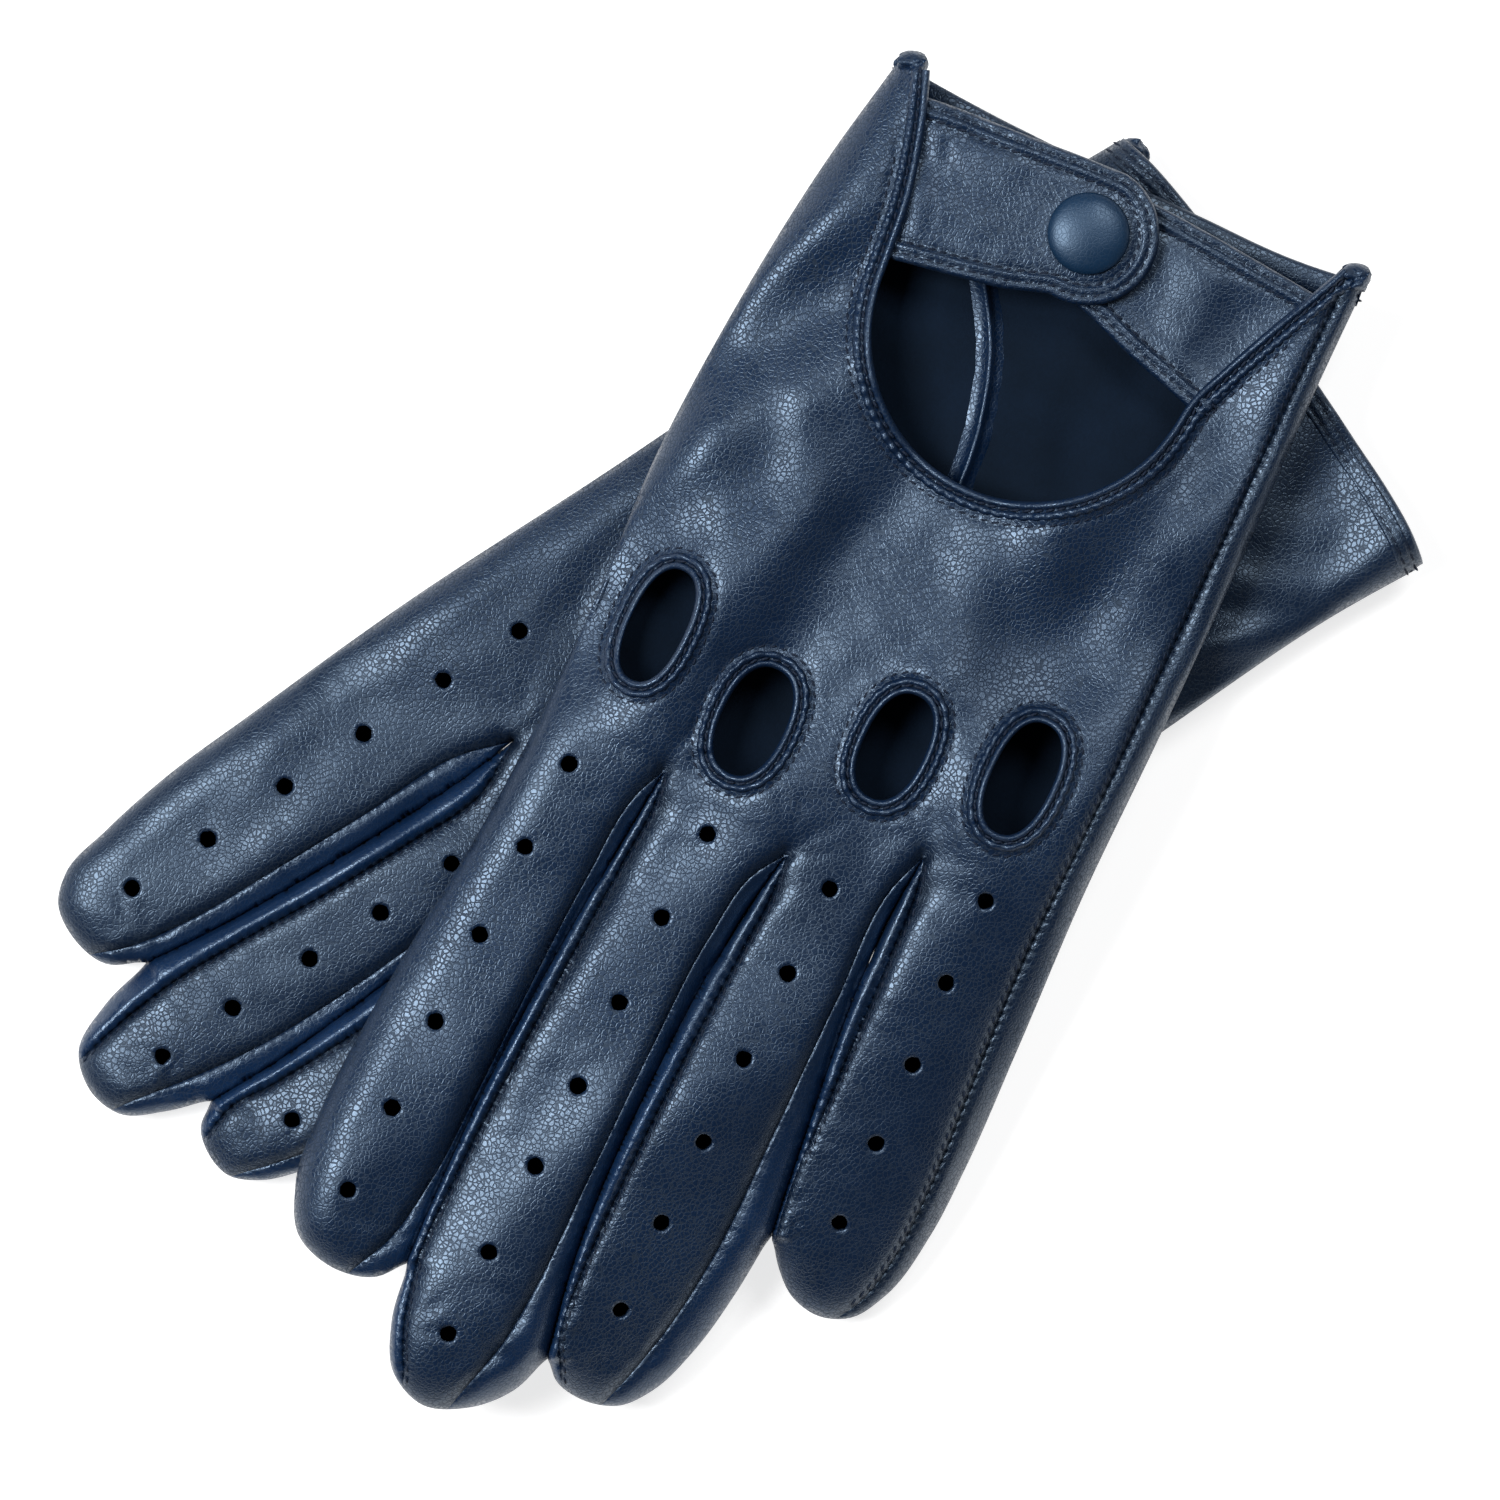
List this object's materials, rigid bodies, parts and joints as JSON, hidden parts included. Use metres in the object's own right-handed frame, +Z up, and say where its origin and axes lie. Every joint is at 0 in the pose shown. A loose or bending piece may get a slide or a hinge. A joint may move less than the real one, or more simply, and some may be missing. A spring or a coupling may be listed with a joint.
{
  "type": "leather driving gloves",
  "caption": "Crossed pair of leather driving gloves with knuckle holes, perforated fingers, open wrist and snap strap.",
  "frame": {"origin": "middle of the pair's footprint, on the surface that it lies on", "axes": "+Y towards the upper glove's fingertips, +X towards its index side, +Z up out of its back"},
  "size_m": [0.1824, 0.2403, 0.0303],
  "materials": {
    "back_leather": "semi-matte, fine grain",
    "palm_leather": "semi-matte, fine grain",
    "binding_leather": "rolled and stitched",
    "fourchette_leather": "soft, slightly shiny",
    "cap_leather": "smooth, stretched over the cap",
    "snap_metal": "nickel plated"
  },
  "bodies": {
    "lower_glove": {"lower_back_panel": "back_leather", "lower_palm_panel": "palm_leather", "lower_thumb": "palm_leather", "lower_cuff_hem": "binding_leather", "lower_wrist_binding": "binding_leather", "lower_little_knuckle_binding": "binding_leather", "lower_ring_knuckle_binding": "binding_leather", "lower_middle_knuckle_binding": "binding_leather", "lower_index_knuckle_binding": "binding_leather", "lower_little_fourchette": "fourchette_leather", "lower_ring_outer_fourchette": "fourchette_leather", "lower_ring_inner_fourchette": "fourchette_leather", "lower_middle_outer_fourchette": "fourchette_leather", "lower_middle_inner_fourchette": "fourchette_leather", "lower_index_fourchette": "fourchette_leather", "lower_strap": "back_leather", "lower_snap_stud": "snap_metal", "lower_snap_post": "snap_metal"},
    "upper_glove": {"upper_back_panel": "back_leather", "upper_palm_panel": "palm_leather", "upper_thumb": "palm_leather", "upper_cuff_hem": "binding_leather", "upper_wrist_binding": "binding_leather", "upper_little_knuckle_binding": "binding_leather", "upper_ring_knuckle_binding": "binding_leather", "upper_middle_knuckle_binding": "binding_leather", "upper_index_knuckle_binding": "binding_leather", "upper_little_fourchette": "fourchette_leather", "upper_ring_outer_fourchette": "fourchette_leather", "upper_ring_inner_fourchette": "fourchette_leather", "upper_middle_outer_fourchette": "fourchette_leather", "upper_middle_inner_fourchette": "fourchette_leather", "upper_index_fourchette": "fourchette_leather", "upper_strap": "back_leather", "upper_snap_stud": "snap_metal", "upper_snap_post": "snap_metal"},
    "upper_tab": {"upper_tab": "back_leather", "upper_snap_cap": "cap_leather", "upper_snap_socket": "snap_metal"},
    "lower_tab": {"lower_tab": "back_leather", "lower_snap_cap": "cap_leather", "lower_snap_socket": "snap_metal"}
  },
  "joints": [
    {"name": "upper_lift", "type": "slide", "parent": "lower_glove", "child": "upper_glove", "axis": [0, 0, 1], "range_m": [0, 0.12]},
    {"name": "upper_tab_fold", "type": "hinge", "parent": "upper_glove", "child": "upper_tab", "pos_m": [0.01155, -0.09806, 0.02785], "axis": [-0.2106, 0.9776, 0], "range_deg": [0, 150]},
    {"name": "lower_tab_fold", "type": "hinge", "parent": "lower_glove", "child": "lower_tab", "pos_m": [-0.01826, -0.10022, 0.0025], "axis": [-0.3147, -0.9492, 0], "range_deg": [0, 150]}
  ]
}
